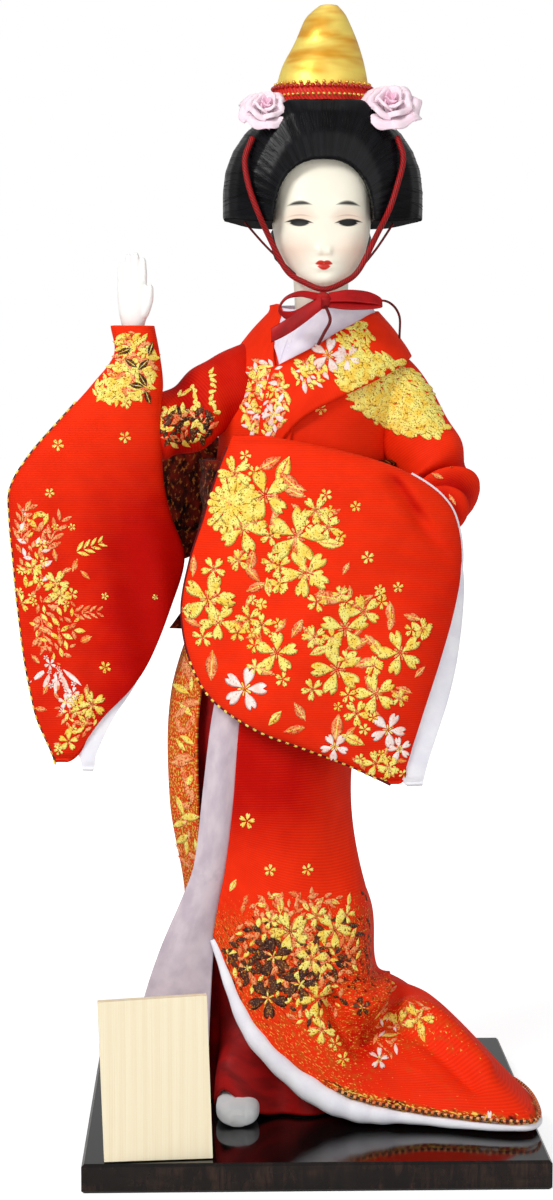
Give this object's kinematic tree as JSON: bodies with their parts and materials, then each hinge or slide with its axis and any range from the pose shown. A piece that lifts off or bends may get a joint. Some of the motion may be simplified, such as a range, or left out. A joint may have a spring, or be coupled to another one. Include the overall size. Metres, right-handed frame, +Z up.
{
  "type": "costumed kimono doll on a stand",
  "caption": "Standing dancer doll in a trailing red kimono with hanging sleeves, sash, gilt cap and chin cord, on a square lacquered board with a small loose plaque.",
  "frame": {"origin": "centre of the board's flat underside", "axes": "+Z up along the doll, -Y the way the doll faces, +X to the doll's left"},
  "size_m": [0.1407, 0.118, 0.3011],
  "materials": {
    "lacquer": "black lacquer, polished",
    "steel": "plain screw steel",
    "timber": "bare dowel",
    "straw": "bound straw",
    "padding": "cotton wound on wire",
    "brocade": "red brocade with gold and white blossoms",
    "gold_brocade": "gold-patterned brocade",
    "red_silk": "plain red silk",
    "white_cotton": "white cotton",
    "dark_brocade": "dark brown brocade",
    "porcelain": "cream-white polished shell-white face paint",
    "hair": "combed black silk floss, glossed",
    "gilt": "stiff card, gilt",
    "red_cord": "red silk cord and ribbon",
    "pink_ribbon": "pale pink ribbon",
    "pale_wood": "bare planed wood"
  },
  "bodies": {
    "stand_and_body": {"base_board": "lacquer", "right_foot_screw": "steel", "left_foot_screw": "steel", "right_leg_post": "timber", "left_leg_post": "timber", "right_tabi_sock": "white_cotton", "left_tabi_sock": "white_cotton", "straw_body": "straw", "right_upper_arm": "padding", "left_upper_arm": "padding", "red_underskirt": "red_silk", "kimono_skirt": "brocade", "white_hem_roll": "white_cotton", "white_front_lining": "white_cotton", "kimono_bodice": "brocade", "obi_band": "dark_brocade", "white_collar": "white_cotton", "left_lapel": "gold_brocade", "right_lapel": "brocade", "obi_right_wing": "dark_brocade", "obi_left_wing": "dark_brocade", "obi_knot": "dark_brocade", "obi_tail": "dark_brocade", "right_upper_sleeve": "brocade", "left_upper_sleeve": "brocade"},
    "head_unit": {"head": "porcelain", "neck_peg": "timber", "wig_front": "hair", "wig_nape": "hair", "wig_topknot": "hair", "gilt_cap": "gilt", "cap_band": "red_cord", "right_rose": "pink_ribbon", "left_rose": "pink_ribbon", "chin_cord": "red_cord", "bow_knot": "red_cord", "bow_right_loop": "red_cord", "bow_left_loop": "red_cord", "bow_broad_tail": "red_cord", "bow_thin_tail": "red_cord"},
    "right_arm_unit": {"right_forearm": "padding", "right_sleeve": "brocade", "right_sleeve_lining": "white_cotton"},
    "right_hand_unit": {"right_hand": "porcelain"},
    "left_arm_unit": {"left_forearm": "padding", "left_sleeve": "brocade", "left_sleeve_lining": "white_cotton", "left_hand": "porcelain"},
    "plaque_unit": {"plaque": "pale_wood", "plaque_strut": "pale_wood"}
  },
  "joints": [
    {"name": "head_turn", "type": "hinge", "parent": "stand_and_body", "child": "head_unit", "pos_m": [0.0034, 0.0035, 0.215], "axis": [0, 0, 1], "range_deg": [-15, 15]},
    {"name": "right_elbow_swing", "type": "hinge", "parent": "stand_and_body", "child": "right_arm_unit", "pos_m": [-0.039, -0.008, 0.189], "axis": [0, 0, 1], "range_deg": [-15, 20]},
    {"name": "right_hand_turn", "type": "hinge", "parent": "right_arm_unit", "child": "right_hand_unit", "pos_m": [-0.0464, -0.015, 0.212], "axis": [0, 0, 1], "range_deg": [-35, 35]},
    {"name": "left_elbow_swing", "type": "hinge", "parent": "stand_and_body", "child": "left_arm_unit", "pos_m": [0.034, -0.01, 0.1705], "axis": [0, 0, 1], "range_deg": [0, 20]},
    {"name": "plaque_lift", "type": "slide", "parent": "stand_and_body", "child": "plaque_unit", "axis": [0, 0, 1], "range_m": [0, 0.05]}
  ]
}
